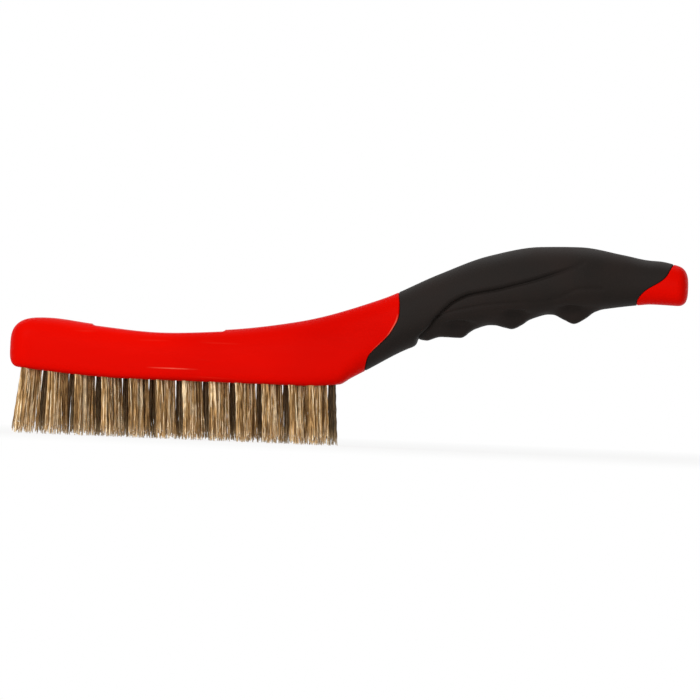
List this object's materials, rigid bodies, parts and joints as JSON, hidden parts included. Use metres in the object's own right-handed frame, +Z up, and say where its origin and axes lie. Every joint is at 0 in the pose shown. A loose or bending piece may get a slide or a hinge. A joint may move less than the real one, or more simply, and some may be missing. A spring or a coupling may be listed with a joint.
{
  "type": "wire scratch brush",
  "caption": "Hand wire brush: a curved moulded body with a straight bristle head, staggered wire tufts, a raised handle in a soft finger-grooved grip and a bare handle end.",
  "frame": {"origin": "on the plane that the trimmed wire ends stand on, under the middle of the brush's length", "axes": "+X from the nose of the head to the handle end, +Z up from the wire ends through the head, +Y across the brush"},
  "size_m": [0.29, 0.0296, 0.0895],
  "materials": {
    "red_plastic": "moulded polypropylene, soft gloss",
    "black_rubber": "matt thermoplastic rubber",
    "coated_wire": "brass-coated spring steel wire, bright to tarnished"
  },
  "bodies": {
    "root": {"brush_body": "red_plastic", "grip_sleeve": "black_rubber", "tuft_01_1": "coated_wire", "tuft_01_2": "coated_wire", "tuft_01_3": "coated_wire", "tuft_01_4": "coated_wire", "tuft_02_1": "coated_wire", "tuft_02_2": "coated_wire", "tuft_02_3": "coated_wire", "tuft_02_4": "coated_wire", "tuft_03_1": "coated_wire", "tuft_03_2": "coated_wire", "tuft_03_3": "coated_wire", "tuft_03_4": "coated_wire", "tuft_04_1": "coated_wire", "tuft_04_2": "coated_wire", "tuft_04_3": "coated_wire", "tuft_04_4": "coated_wire", "tuft_05_1": "coated_wire", "tuft_05_2": "coated_wire", "tuft_05_3": "coated_wire", "tuft_05_4": "coated_wire", "tuft_06_1": "coated_wire", "tuft_06_2": "coated_wire", "tuft_06_3": "coated_wire", "tuft_06_4": "coated_wire", "tuft_07_1": "coated_wire", "tuft_07_2": "coated_wire", "tuft_07_3": "coated_wire", "tuft_07_4": "coated_wire", "tuft_08_1": "coated_wire", "tuft_08_2": "coated_wire", "tuft_08_3": "coated_wire", "tuft_08_4": "coated_wire", "tuft_09_1": "coated_wire", "tuft_09_2": "coated_wire", "tuft_09_3": "coated_wire", "tuft_09_4": "coated_wire", "tuft_10_1": "coated_wire", "tuft_10_2": "coated_wire", "tuft_10_3": "coated_wire", "tuft_10_4": "coated_wire", "tuft_11_1": "coated_wire", "tuft_11_2": "coated_wire", "tuft_11_3": "coated_wire", "tuft_11_4": "coated_wire", "tuft_12_1": "coated_wire", "tuft_12_2": "coated_wire", "tuft_12_3": "coated_wire", "tuft_12_4": "coated_wire"}
  },
  "joints": []
}
